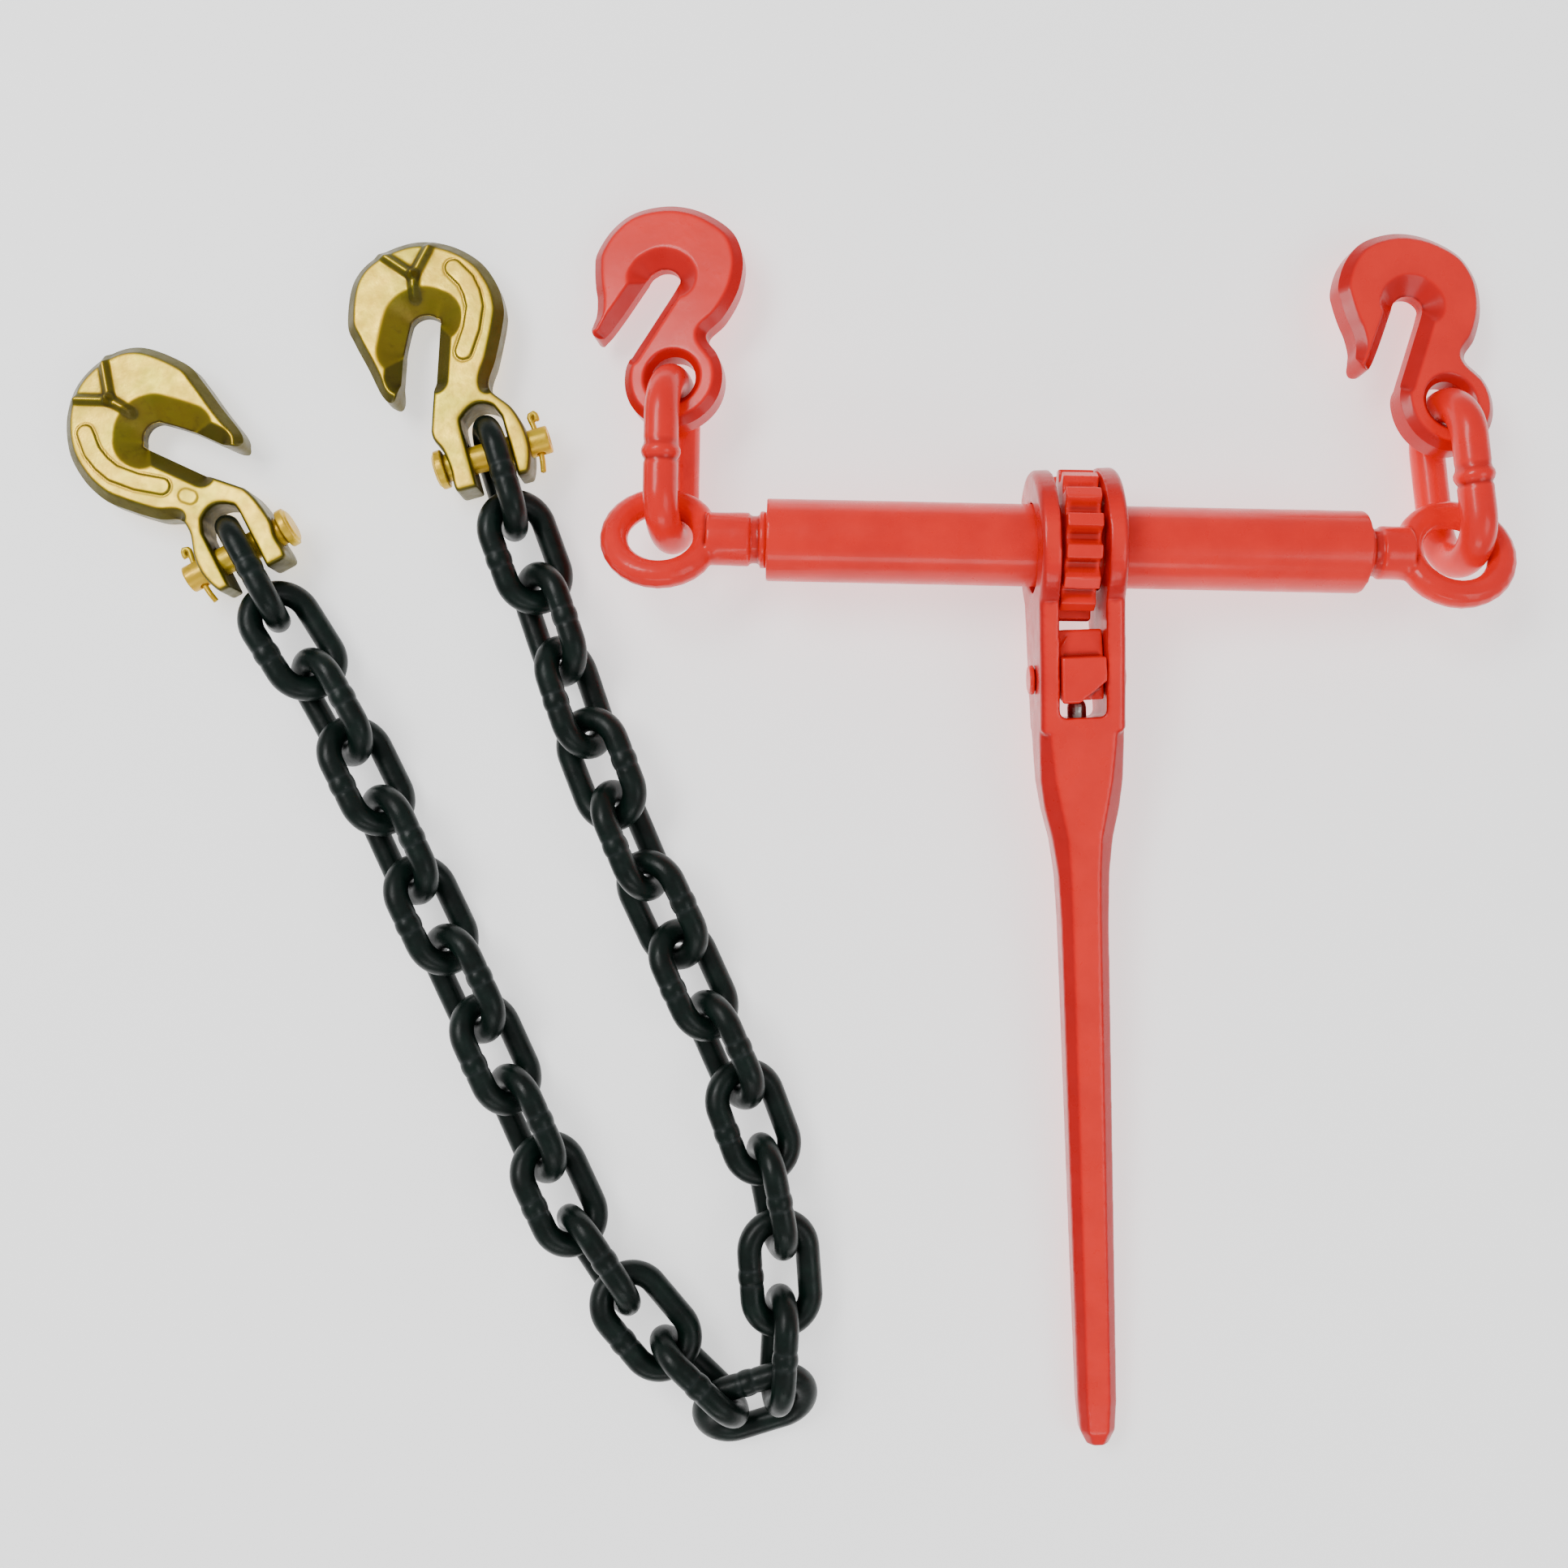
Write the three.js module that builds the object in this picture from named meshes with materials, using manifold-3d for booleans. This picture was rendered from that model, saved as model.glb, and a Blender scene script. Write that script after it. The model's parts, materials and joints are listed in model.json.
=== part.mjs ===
// Load binder chain: a ratchet load binder with two eye grab hooks, and a 27 link chain
// with a clevis grab hook at each end. Millimetres, +Z up, floor at z = 0.
import * as THREE from 'three';
import { mergeVertices } from 'three/addons/utils/BufferGeometryUtils.js';
import Module from 'manifold-3d';

const wasm = await Module();
wasm.setup();

const DEG = Math.PI / 180;

// chain
const CHAIN_WIRE = 10;
const CHAIN_BOW_RADIUS = 11.75;
const CHAIN_STRAIGHT_HALF = 8.9;
const CHAIN_GAP = 0.9;
const BOTTOM_LINK = { centre: [-11.8, -228.6, 11.4], heading: 17, roll: -30 };
const BOTTOM_CONTACT = 12.5;
const LEFT_HEADINGS = [136, 130.5, 123.5, 115.5, 114, 114.6, 115, 115.4, 114.6, 116, 119, 121.3, 118.5];
const LEFT_ROLLS = [90, -16, 68, -36, 52, -50, 44, -48, 48, -46, 50, -28, 77];
const RIGHT_HEADINGS = [87, 94, 100.8, 110.5, 113.9, 114.7, 114.7, 113, 111, 108.6, 108.7, 109.5, 107];
const RIGHT_ROLLS = [78, -13, 74, -22, 58, -46, 36, -64, 28, -57, 51, -30, 74];

// binder
const BARREL_CENTRE = [107.9, 109.5, 29.9];
const GEAR_OFFSET = 3.4;
const BARREL_TURN = -1.2;
const BARREL_LENGTH = 230;
const BARREL_RADIUS = 15.875;
const BARREL_BORE = 11.4;
const THREAD_RADIUS = 11;
const THREAD_INSIDE = 104;
const RING_RADIUS = 18;
const RING_WIRE = 11;
const LEFT_RING_REACH = 41;
const RIGHT_RING_REACH = 36.4;
const LEFT_RING_ROLL = -31;
const RIGHT_RING_ROLL = -24;
const GEAR_TEETH = 15;
const GEAR_TIP = 29.2;
const GEAR_ROOT = 24.4;
const GEAR_WIDTH = 13.4;
const EAR_RADIUS = 29.5;
const YOKE_WIDTH = 32.6;
const SLOT_WIDTH = 17.8;
const SLOT_END = 66;
const LEVER_LENGTH = 356;
const LEVER_SLOPE = 3.5;
const LEVER_SKEW = 2.2;
const LEVER_BORE = 17.3;
const PAWL_PIN_DROP = 51;
const PAWL_PIN_RADIUS = 4;

// end links of the binder
const END_WIRE = 13.5;
const END_BOW_RADIUS = 15.75;
const END_STRAIGHT_HALF = 14.5;
const LEFT_END_LINK = { centre: [-44.0, 144.5, 22.3], heading: 89, lean: -12 };
const RIGHT_END_LINK = { centre: [260.8, 134.8, 24], heading: 96.5, lean: 7 };

// red eye grab hooks
const EYE_HOLE = 8.9;
const EYE_THICKNESS = 13.4;
const LEFT_EYE_HOOK = { slide: -6, heading: 90, roll: -9, pitch: 7.6, shift: [0.3, 0.5, 0] };
const RIGHT_EYE_HOOK = { slide: -6, heading: 100, roll: 11, pitch: 7.6, shift: [0.2, 0.3, 0] };

// clevis grab hooks
const CLEVIS_THICKNESS = 17;
const CLEVIS_PIN_RADIUS = 5.5;
const CLEVIS_PIN_GAP = 0.35;
const LEFT_CLEVIS = { heading: 118, pitch: 5, face: -1, headTurn: -17, stretch: 0.12 };
const RIGHT_CLEVIS = { heading: 106, pitch: 5, face: 1, headTurn: 3.5, stretch: 0 };

const RED = [0.82, 0.04, 0.03];
const GOLD = [0.78, 0.56, 0.12];
const BLACK = [0.03, 0.05, 0.045];
const STEEL = [0.5, 0.5, 0.5];

const group = new THREE.Group();
group.name = 'load_binder_chain';

function toManifold(geometry) {
  const plain = geometry.index ? geometry.clone() : geometry;
  plain.deleteAttribute('normal');
  plain.deleteAttribute('uv');
  const merged = mergeVertices(plain, 1e-4);
  const vertProperties = new Float32Array(merged.attributes.position.array);
  const triVerts = new Uint32Array(merged.index.array);
  return new wasm.Manifold(new wasm.Mesh({ numProp: 3, vertProperties, triVerts }));
}

function toGeometry(solid) {
  const mesh = solid.getMesh();
  const geometry = new THREE.BufferGeometry();
  geometry.setAttribute('position', new THREE.BufferAttribute(new Float32Array(mesh.vertProperties), 3));
  geometry.setIndex(new THREE.BufferAttribute(new Uint32Array(mesh.triVerts), 1));
  return geometry;
}

function addNode(name, geometry, matrix, color, metalness) {
  const material = new THREE.MeshStandardMaterial({ color: new THREE.Color(...color), metalness, roughness: 0.4 });
  material.name = name + '_material';
  const placed = geometry.clone();
  placed.deleteAttribute('uv');
  placed.applyMatrix4(matrix);
  placed.computeVertexNormals();
  const mesh = new THREE.Mesh(placed, material);
  mesh.name = name;
  group.add(mesh);
  return mesh;
}

function basis(x, y, z, origin) {
  return new THREE.Matrix4().makeBasis(x, y, z).setPosition(origin);
}

function headingVector(degrees) {
  return new THREE.Vector3(Math.cos(degrees * DEG), Math.sin(degrees * DEG), 0);
}

function shapeOf(points) {
  return new THREE.Shape(points.map(([x, y]) => new THREE.Vector2(x, y)));
}

function cylinderAlongX(radius, length, segments) {
  return toManifold(new THREE.CylinderGeometry(radius, radius, length, segments).rotateZ(Math.PI / 2));
}

// a welded link: a torus pulled apart along Y, long axis on Y, bow wires along X
function linkGeometry(wire, bowRadius, straightHalf) {
  const geometry = new THREE.TorusGeometry(bowRadius, wire / 2, 8, 16);
  geometry.rotateZ(Math.PI / 16);
  const position = geometry.attributes.position;
  for (let i = 0; i < position.count; i += 1) {
    const shift = position.getY(i) > 0 ? straightHalf : -straightHalf;
    position.setY(i, position.getY(i) + shift);
  }
  const clean = mergeVertices(stripped(geometry), 1e-4);
  return clean;
}

function stripped(geometry) {
  geometry.deleteAttribute('normal');
  geometry.deleteAttribute('uv');
  return geometry;
}

// chain

const chainLink = linkGeometry(CHAIN_WIRE, CHAIN_BOW_RADIUS, CHAIN_STRAIGHT_HALF);
const outerReach = CHAIN_STRAIGHT_HALF + CHAIN_BOW_RADIUS;
const innerReach = outerReach - CHAIN_WIRE - CHAIN_GAP;

function widthDirection(along, roll) {
  const side = new THREE.Vector3(along.y, -along.x, 0).normalize();
  const up = new THREE.Vector3().crossVectors(side, along).normalize();
  return side.multiplyScalar(Math.cos(roll * DEG)).addScaledVector(up, Math.sin(roll * DEG));
}

function linkMatrix(centre, along, width) {
  const normal = new THREE.Vector3().crossVectors(width, along).normalize();
  return basis(width, along, normal, centre);
}

function halfHeight(roll) {
  return CHAIN_WIRE / 2 + CHAIN_BOW_RADIUS * Math.abs(Math.sin(roll * DEG));
}

function placeStrand(start, headings, rolls) {
  const placed = [];
  let contact = start.clone();
  headings.forEach((heading, i) => {
    const here = halfHeight(rolls[i]);
    const next = i + 1 < rolls.length ? halfHeight(rolls[i + 1]) : here;
    const endHeight = Math.max(here, next) + 0.1;
    const pitch = outerReach + innerReach;
    const rise = (endHeight - contact.z) / pitch;
    const flat = Math.sqrt(1 - rise * rise);
    const along = headingVector(heading).multiplyScalar(flat).setZ(rise);
    const width = widthDirection(along, rolls[i]);
    const centre = contact.clone().addScaledVector(along, innerReach);
    placed.push({ centre, along, width, contact: contact.clone() });
    contact = centre.clone().addScaledVector(along, outerReach);
  });
  return placed;
}

const bottomAlong = headingVector(BOTTOM_LINK.heading);
const bottomWidth = widthDirection(bottomAlong, BOTTOM_LINK.roll);
const bottomCentre = new THREE.Vector3(...BOTTOM_LINK.centre);
const bendSine = (BOTTOM_CONTACT - CHAIN_STRAIGHT_HALF) / CHAIN_BOW_RADIUS;
const bendCosine = Math.sqrt(1 - bendSine * bendSine);

function bottomContact(side) {
  return bottomCentre.clone()
    .addScaledVector(bottomAlong, side * BOTTOM_CONTACT)
    .addScaledVector(bottomWidth, -CHAIN_BOW_RADIUS * bendCosine);
}

const leftStrand = placeStrand(bottomContact(-1), LEFT_HEADINGS, LEFT_ROLLS);
const rightStrand = placeStrand(bottomContact(1), RIGHT_HEADINGS, RIGHT_ROLLS);

const linkPlaces = new Map();
linkPlaces.set(14, { centre: bottomCentre, along: bottomAlong, width: bottomWidth });
leftStrand.forEach((place, i) => {
  linkPlaces.set(13 - i, place);
});
rightStrand.forEach((place, i) => {
  linkPlaces.set(15 + i, place);
});
for (let number = 1; number <= 27; number += 1) {
  const place = linkPlaces.get(number);
  const name = 'chain_link_' + String(number).padStart(2, '0');
  addNode(name, chainLink, linkMatrix(place.centre, place.along, place.width), BLACK, 0.5);
}

// clevis grab hook, local frame: pin at the origin, pin axis X, bowl towards +Y

const CLEVIS_HEAD = [
  [7.6, 24.7], [13.7, 34.8], [20.9, 47.3], [23.6, 54.4], [23.8, 64.3], [20.1, 75.3], [10.7, 85.4], [-2.2, 91.1],
  [-17.9, 90.4], [-29.6, 83.6], [-37.0, 68.5], [-36.8, 59.6], [-34.9, 47.9], [-33.4, 36.5],
  [-31, 32], [-28.2, 32.2], [-25, 38], [-20.1, 49.4], [-14.2, 59.4],
  [-12.2, 61.4], [-9.2, 62.3], [-5.8, 61.6], [-3.2, 59.4], [-2.6, 55.8],
  [-11.5, 33.8], [-19.2, 14.8],
];
const CLEVIS_LEGS = [
  [-17.6, 4.6], [-16.6, -3.6], [-17.0, -10.0], [-15.5, -12.8], [-8.1, -12.8],
  [-8.1, 11.5], [-6.1, 16.4], [0, 19.2], [6.1, 16.4], [8.1, 11.5],
  [8.1, -12.8], [12.4, -12.8], [15.6, -4.5], [15.6, 4.4], [12.9, 14.1],
];

function bevelledPlate(outline, thickness, bevel) {
  const geometry = new THREE.ExtrudeGeometry(shapeOf(outline), {
    depth: thickness - 2 * bevel,
    steps: 1,
    curveSegments: 8,
    bevelEnabled: true,
    bevelThickness: bevel,
    bevelSize: bevel,
    bevelOffset: -bevel,
    bevelSegments: 1,
  });
  geometry.translate(0, 0, -thickness / 2 + bevel);
  return geometry;
}

// the head leans about the pin by headTurn degrees, the legs stay square to the pin
// stretch lengthens the head about its middle, fading out towards the legs
function clevisHookSolid(headTurn, stretch) {
  const sine = Math.sin(headTurn * DEG);
  const cosine = Math.cos(headTurn * DEG);
  const longer = CLEVIS_HEAD.map(([x, y]) => {
    const share = THREE.MathUtils.smoothstep(y, 24, 36);
    return [x, y + stretch * share * (y - 62)];
  });
  const head = longer.map(([x, y]) => [x * cosine - y * sine, x * sine + y * cosine]);
  const outline = [...head, ...CLEVIS_LEGS];
  const plate = toManifold(bevelledPlate(outline, CLEVIS_THICKNESS, 2.2));
  const pinHole = cylinderAlongX(CLEVIS_PIN_RADIUS + 0.3, 60, 24);
  return plate.subtract(pinHole);
}

function clevisPinSolid() {
  const shank = cylinderAlongX(CLEVIS_PIN_RADIUS, 43, 24).translate([1.9, 0, 0]);
  const head = cylinderAlongX(7.75, 3.2, 24).translate([-20.8, 0, 0]);
  const crown = cylinderAlongX(6.4, 1.0, 24).translate([-22.8, 0, 0]);
  const drill = cylinderAlongX(2.4, 7, 16).translate([23, 0, 0]);
  const cotterHole = toManifold(new THREE.CylinderGeometry(1.9, 1.9, 30, 12)).translate([18.6, 0, 0]);
  return shank.add(head).add(crown).subtract(drill).subtract(cotterHole);
}

function cotterGeometry() {
  const points = [
    [17.6, -12.5, 0.9], [18.2, -9, 0.1], [18.6, -5, 0], [18.6, 6, 0], [18.3, 8.2, 0],
    [17.9, 10.4, 0], [19.2, 12.2, 0], [20.6, 10.6, 0], [20.4, 8.4, 0.4],
  ];
  const curve = new THREE.CatmullRomCurve3(points.map(([x, y, z]) => new THREE.Vector3(x, y, z)));
  const wire = new THREE.Shape();
  wire.absarc(0, 0, 1.2, 0, 2 * Math.PI, false);
  return new THREE.ExtrudeGeometry(wire, { steps: 22, extrudePath: curve, curveSegments: 4, bevelEnabled: false });
}

const clevisPin = toGeometry(clevisPinSolid());
const cotterPin = cotterGeometry();

function clevisMatrix(place, setting) {
  const along = headingVector(setting.heading).multiplyScalar(Math.cos(setting.pitch * DEG));
  along.setZ(-Math.sin(setting.pitch * DEG));
  const flatSide = new THREE.Vector3(along.y, -along.x, 0).normalize();
  const across = flatSide.multiplyScalar(setting.face);
  const normal = new THREE.Vector3().crossVectors(across, along).normalize();
  const reach = outerReach - CHAIN_WIRE / 2 - CLEVIS_PIN_RADIUS - CLEVIS_PIN_GAP;
  const pin = place.centre.clone().addScaledVector(place.along, reach);
  return basis(across, along, normal, pin);
}

function addClevisEnd(side, place, setting) {
  const matrix = clevisMatrix(place, setting);
  addNode('clevis_hook_' + side, toGeometry(clevisHookSolid(setting.headTurn, setting.stretch)), matrix, GOLD, 0.7);
  addNode('clevis_pin_' + side, clevisPin, matrix, GOLD, 0.7);
  addNode('cotter_pin_' + side, cotterPin, matrix, STEEL, 0.8);
}

addClevisEnd('left', linkPlaces.get(1), LEFT_CLEVIS);
addClevisEnd('right', linkPlaces.get(27), RIGHT_CLEVIS);

// binder barrel, gear and eye screws, local frame: barrel axis X through the origin

const binderMatrix = new THREE.Matrix4()
  .makeRotationZ(BARREL_TURN * DEG)
  .setPosition(new THREE.Vector3(...BARREL_CENTRE));

function barrelSolid() {
  const tube = cylinderAlongX(BARREL_RADIUS, BARREL_LENGTH, 48);
  const bore = cylinderAlongX(BARREL_BORE, BARREL_LENGTH + 2, 32);
  const mouth = new THREE.CylinderGeometry(14.4, BARREL_BORE - 0.2, 4, 32).rotateZ(-Math.PI / 2);
  const rightMouth = toManifold(mouth).translate([BARREL_LENGTH / 2 - 1.95, 0, 0]);
  const leftMouth = toManifold(mouth.clone().rotateZ(Math.PI)).translate([-BARREL_LENGTH / 2 + 1.95, 0, 0]);
  return tube.subtract(bore).subtract(rightMouth).subtract(leftMouth);
}

function gearSolid() {
  const points = [];
  const pitch = 2 * Math.PI / GEAR_TEETH;
  for (let i = 0; i < GEAR_TEETH; i += 1) {
    const middle = i * pitch;
    const corners = [
      [GEAR_TIP, -0.2], [GEAR_TIP, 0.2], [GEAR_ROOT + 1.4, 0.29], [GEAR_ROOT, 0.4],
      [GEAR_ROOT, 0.6], [GEAR_ROOT + 1.4, 0.71],
    ];
    corners.forEach(([radius, share]) => {
      const angle = middle + share * pitch;
      points.push([radius * Math.cos(angle), radius * Math.sin(angle)]);
    });
  }
  const geometry = new THREE.ExtrudeGeometry(shapeOf(points), { depth: GEAR_WIDTH, bevelEnabled: false });
  geometry.translate(0, 0, -GEAR_WIDTH / 2).rotateY(Math.PI / 2);
  return toManifold(geometry).subtract(cylinderAlongX(BARREL_RADIUS + 0.2, 40, 48));
}

// ring at the origin, shank towards +X, ring plane XY
function eyeScrewSolid(reach) {
  const ring = toManifold(stripped(new THREE.TorusGeometry(RING_RADIUS, RING_WIRE / 2, 12, 28)));
  const threadStart = reach - 2.5;
  const neckLength = threadStart - 4 - RING_RADIUS;
  const neck = cylinderAlongX(10.4, neckLength, 24).translate([RING_RADIUS + neckLength / 2, 0, 0]);
  const collar = cylinderAlongX(9.2, 5, 24).translate([threadStart - 2, 0, 0]);
  const threadLength = 2.5 + THREAD_INSIDE;
  const thread = cylinderAlongX(THREAD_RADIUS, threadLength, 32).translate([threadStart + threadLength / 2, 0, 0]);
  const hole = toManifold(new THREE.CylinderGeometry(RING_RADIUS - 5, RING_RADIUS - 5, 30, 28).rotateX(Math.PI / 2));
  const neckSolid = neck.add(collar).add(thread).subtract(hole);
  return ring.add(neckSolid);
}

function ringMatrix(side, reach, roll) {
  const ringX = side * (BARREL_LENGTH / 2 + reach);
  const turn = side < 0 ? 0 : Math.PI;
  return binderMatrix.clone()
    .multiply(new THREE.Matrix4().makeTranslation(ringX, 0, 0))
    .multiply(new THREE.Matrix4().makeRotationX(roll * DEG))
    .multiply(new THREE.Matrix4().makeRotationZ(turn));
}

addNode('barrel_tube', toGeometry(barrelSolid()), binderMatrix, RED, 0.2);
const gearMatrix = binderMatrix.clone().multiply(new THREE.Matrix4().makeTranslation(GEAR_OFFSET, 0, 0));
addNode('ratchet_gear', toGeometry(gearSolid()), gearMatrix, RED, 0.2);
const leftRing = ringMatrix(-1, LEFT_RING_REACH, LEFT_RING_ROLL);
const rightRing = ringMatrix(1, RIGHT_RING_REACH, RIGHT_RING_ROLL);
addNode('eye_screw_left', toGeometry(eyeScrewSolid(LEFT_RING_REACH)), leftRing, RED, 0.2);
addNode('eye_screw_right', toGeometry(eyeScrewSolid(RIGHT_RING_REACH)), rightRing, RED, 0.2);

// lever, local frame: barrel axis X through the origin, shank towards -Y

const leverMatrix = new THREE.Matrix4()
  .makeRotationZ(LEVER_SKEW * DEG)
  .multiply(new THREE.Matrix4().makeRotationX(LEVER_SLOPE * DEG))
  .setPosition(new THREE.Vector3(GEAR_OFFSET, 0, 0).applyMatrix4(binderMatrix));

const SHANK_SECTIONS = [
  [58, 16.3, 15.2, 3.4], [76, 16.3, 13.6, 4.2], [90, 16.0, 12.6, 5.4], [101, 14.6, 12.0, 6], [113, 11.8, 11.4, 5.6],
  [127, 10.0, 10.8, 4.6], [146, 9.3, 10.2, 4.2], [240, 8.6, 8.8, 4], [338, 7.8, 7.3, 3.6],
  [350, 7.0, 6.6, 3.4], [LEVER_LENGTH, 4.2, 4.4, 2.2],
];

// octagonal sections joined along -Y: distance, half width, half height, corner cut
function shankGeometry() {
  const positions = [];
  const index = [];
  SHANK_SECTIONS.forEach(([distance, halfWidth, halfHeight, cut]) => {
    const ring = [
      [halfWidth, halfHeight - cut], [halfWidth - cut, halfHeight], [cut - halfWidth, halfHeight],
      [-halfWidth, halfHeight - cut], [-halfWidth, cut - halfHeight], [cut - halfWidth, -halfHeight],
      [halfWidth - cut, -halfHeight], [halfWidth, cut - halfHeight],
    ];
    ring.forEach(([x, z]) => positions.push(x, -distance, z));
  });
  const count = SHANK_SECTIONS.length;
  for (let row = 0; row + 1 < count; row += 1) {
    for (let k = 0; k < 8; k += 1) {
      const a = row * 8 + k;
      const b = row * 8 + (k + 1) % 8;
      index.push(a, b, a + 8, b, b + 8, a + 8);
    }
  }
  const last = (count - 1) * 8;
  for (let k = 1; k < 7; k += 1) {
    index.push(0, k + 1, k);
    index.push(last, last + k, last + k + 1);
  }
  const geometry = new THREE.BufferGeometry();
  geometry.setAttribute('position', new THREE.Float32BufferAttribute(positions, 3));
  geometry.setIndex(index);
  return geometry;
}

function yokeSolid() {
  const side = new THREE.Shape();
  side.moveTo(-72, -14);
  side.lineTo(-46, -17.4);
  side.lineTo(-22, -19.65);
  side.absarc(0, 0, EAR_RADIUS, -Math.PI + 0.73, Math.PI - 0.73, false);
  side.lineTo(-46, 17.4);
  side.lineTo(-72, 14);
  const geometry = new THREE.ExtrudeGeometry(side, {
    depth: YOKE_WIDTH - 3,
    curveSegments: 22,
    bevelEnabled: true,
    bevelThickness: 1.5,
    bevelSize: 1.5,
    bevelOffset: -1.5,
    bevelSegments: 1,
  });
  // profile drawn as (y, z): turn it so its first axis is Y and its depth is X
  geometry.translate(0, 0, -(YOKE_WIDTH - 3) / 2);
  const turn = new THREE.Matrix4().makeBasis(
    new THREE.Vector3(0, 1, 0), new THREE.Vector3(0, 0, 1), new THREE.Vector3(1, 0, 0));
  geometry.applyMatrix4(turn);
  return toManifold(geometry);
}

function slotSolid() {
  const half = SLOT_WIDTH / 2;
  const slot = new THREE.Shape();
  slot.moveTo(half, 40);
  slot.lineTo(-half, 40);
  slot.lineTo(-half, -SLOT_END + 2.5);
  slot.absarc(-half + 2.5, -SLOT_END + 2.5, 2.5, Math.PI, Math.PI * 1.5, false);
  slot.absarc(half - 2.5, -SLOT_END + 2.5, 2.5, -Math.PI / 2, 0, false);
  slot.lineTo(half, 40);
  const geometry = new THREE.ExtrudeGeometry(slot, { depth: 90, curveSegments: 4, bevelEnabled: false });
  geometry.translate(0, 0, -45);
  return toManifold(geometry);
}

function alongY(radius, from, to, segments) {
  const geometry = new THREE.CylinderGeometry(radius, radius, Math.abs(to - from), segments);
  return toManifold(geometry).translate([0, -(from + to) / 2, 0]);
}

function leverSolid() {
  const shank = toManifold(shankGeometry());
  const whole = yokeSolid().add(shank);
  const bore = cylinderAlongX(LEVER_BORE, 60, 48);
  const pinHole = cylinderAlongX(PAWL_PIN_RADIUS + 0.3, 60, 20).translate([0, -PAWL_PIN_DROP, 0]);
  const springBore = alongY(4.1, 60, 104, 20);
  return whole.subtract(slotSolid()).subtract(bore).subtract(pinHole).subtract(springBore);
}

// pawl: hub on its pin, two noses towards the gear and a thumb tab standing out of the slot
function pawlSolid() {
  const outline = [
    [18.1, 11.2], [14.6, 12.2], [8.4, 12.4], [7.8, 19.6], [-9.0, 19.6], [-9.6, 17.4],
    [-7.4, 8], [-6.6, 4.6], [-6.6, -4.6], [-4, -9], [4, -14], [12, -15.6], [18.1, -14.6],
    [19, -12.6], [12.6, -6], [11.4, 0], [12.6, 5], [19, 9.8],
  ];
  const geometry = new THREE.ExtrudeGeometry(shapeOf([...outline].reverse()), { depth: 16.8, bevelEnabled: false });
  geometry.translate(0, 0, -8.4);
  const turn = new THREE.Matrix4().makeBasis(
    new THREE.Vector3(0, 1, 0), new THREE.Vector3(0, 0, 1), new THREE.Vector3(1, 0, 0));
  geometry.applyMatrix4(turn);
  const hole = cylinderAlongX(PAWL_PIN_RADIUS + 0.3, 40, 20);
  return toManifold(geometry).subtract(hole).translate([0, -PAWL_PIN_DROP, 0]);
}

function pawlPinSolid() {
  const shank = cylinderAlongX(PAWL_PIN_RADIUS, 37, 20);
  const head = cylinderAlongX(5.8, 2, 20);
  return shank
    .add(head.translate([17.6, 0, 0]))
    .add(head.translate([-17.6, 0, 0]))
    .translate([0, -PAWL_PIN_DROP, 0]);
}

function plungerSolid() {
  const tip = toManifold(stripped(new THREE.SphereGeometry(3.7, 16, 10))).translate([0, -62.2, 0]);
  return alongY(3.7, 62.2, 78, 20).add(tip);
}

function springGeometry() {
  class Coil extends THREE.Curve {
    getPoint(t) {
      const angle = t * 5 * 2 * Math.PI;
      return new THREE.Vector3(2.9 * Math.cos(angle), -80.2 - 22.4 * t, 2.9 * Math.sin(angle));
    }
  }
  const wire = new THREE.Shape();
  wire.absarc(0, 0, 0.6, 0, 2 * Math.PI, false);
  return new THREE.ExtrudeGeometry(wire, { steps: 60, extrudePath: new Coil(), curveSegments: 2, bevelEnabled: false });
}

addNode('lever_handle', toGeometry(leverSolid()), leverMatrix, RED, 0.2);
addNode('pawl', toGeometry(pawlSolid()), leverMatrix, RED, 0.2);
addNode('pawl_pin', toGeometry(pawlPinSolid()), leverMatrix, RED, 0.2);
addNode('pawl_plunger', toGeometry(plungerSolid()), leverMatrix, STEEL, 0.9);
addNode('pawl_spring', springGeometry(), leverMatrix, STEEL, 0.9);

// end links and eye grab hooks

const endLink = linkGeometry(END_WIRE, END_BOW_RADIUS, END_STRAIGHT_HALF);

function endLinkFrame(setting) {
  const along = headingVector(setting.heading);
  const side = new THREE.Vector3(along.y, -along.x, 0);
  const width = side.multiplyScalar(Math.sin(setting.lean * DEG));
  width.z = Math.cos(setting.lean * DEG);
  return { centre: new THREE.Vector3(...setting.centre), along, width };
}

function hookPivot(frame, slide) {
  const bow = frame.along.clone().multiplyScalar(Math.cos(slide * DEG))
    .addScaledVector(frame.width, Math.sin(slide * DEG));
  return frame.centre.clone()
    .addScaledVector(frame.along, END_STRAIGHT_HALF)
    .addScaledVector(bow, END_BOW_RADIUS);
}

const EYE_HOOK_OUTLINE = [
  [-18.2, 69.4], [-26.9, 62.9], [-32.6, 53.6], [-33.3, 47.1], [-32.7, 39.4], [-31.8, 34], [-31.9, 27.4],
  [-33.4, 22.5], [-32.4, 18.4], [-28.6, 18.2], [-22.5, 25.8], [-11.9, 41.8],
  [-9.8, 44.2], [-6.2, 45.8], [-2.2, 45.2], [0.6, 42.6], [0.7, 38.9],
  [-6.2, 27.4], [-11.6, 18.7], [-17.6, 8.9], [-19.4, 3.5],
  [-19.2, -3.4], [-16.9, -9.75], [-12.5, -14.9], [-6.7, -18.3], [0, -19.5], [6.7, -18.3], [12.5, -14.9],
  [16.9, -9.75], [19.2, -3.4], [19.2, 3.4], [16.9, 9.75], [12.4, 17.2],
  [18.9, 24.2], [24.3, 34], [26.4, 43.8], [25.7, 51.4], [22.2, 59.1], [14.5, 65.6], [4.7, 70.2], [-6.2, 71.7],
];

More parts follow.
